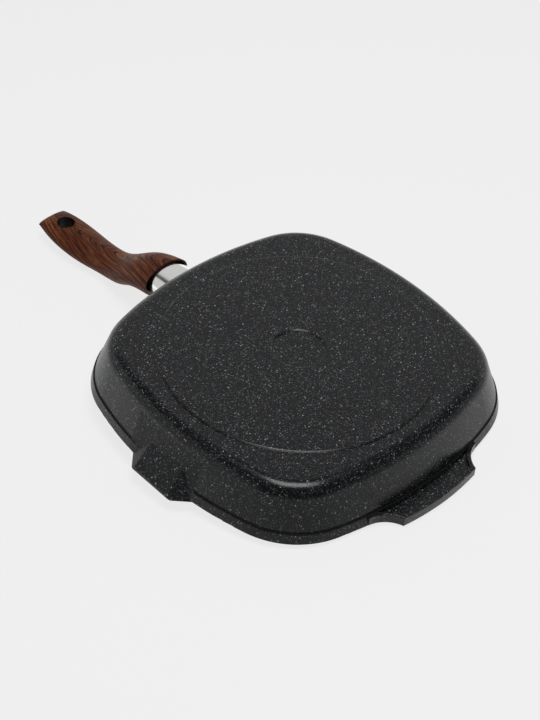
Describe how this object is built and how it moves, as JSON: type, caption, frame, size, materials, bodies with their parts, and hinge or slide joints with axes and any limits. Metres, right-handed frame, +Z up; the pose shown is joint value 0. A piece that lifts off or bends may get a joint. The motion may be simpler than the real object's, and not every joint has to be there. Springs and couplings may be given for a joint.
{
  "type": "square grill pan",
  "caption": "Square cast grill pan with a ridged floor, pouring spouts, a short helper handle and a long wood-look handle with a steel ferrule.",
  "frame": {"origin": "centre of the base, on the plane of the raised contact disc that stands on the hob", "axes": "+Z up out of the open pan, long handle along -X, helper handle along +X, one spout on each of the +Y and -Y sides"},
  "size_m": [0.4582, 0.2976, 0.0743],
  "materials": {
    "stone_coating": "cast aluminium under a charcoal speckled non-stick coating, semi-gloss",
    "satin_steel": "satin stainless steel",
    "wood_look_grip": "moulded thermoset with a printed dark wood grain, satin",
    "zinc_steel": "zinc-plated steel"
  },
  "bodies": {
    "root": {"pan_body": "stone_coating", "ferrule": "satin_steel", "handle_grip": "wood_look_grip", "handle_bolt": "zinc_steel", "flat_washer": "zinc_steel", "spring_washer": "zinc_steel", "threaded_insert": "zinc_steel"}
  },
  "joints": []
}
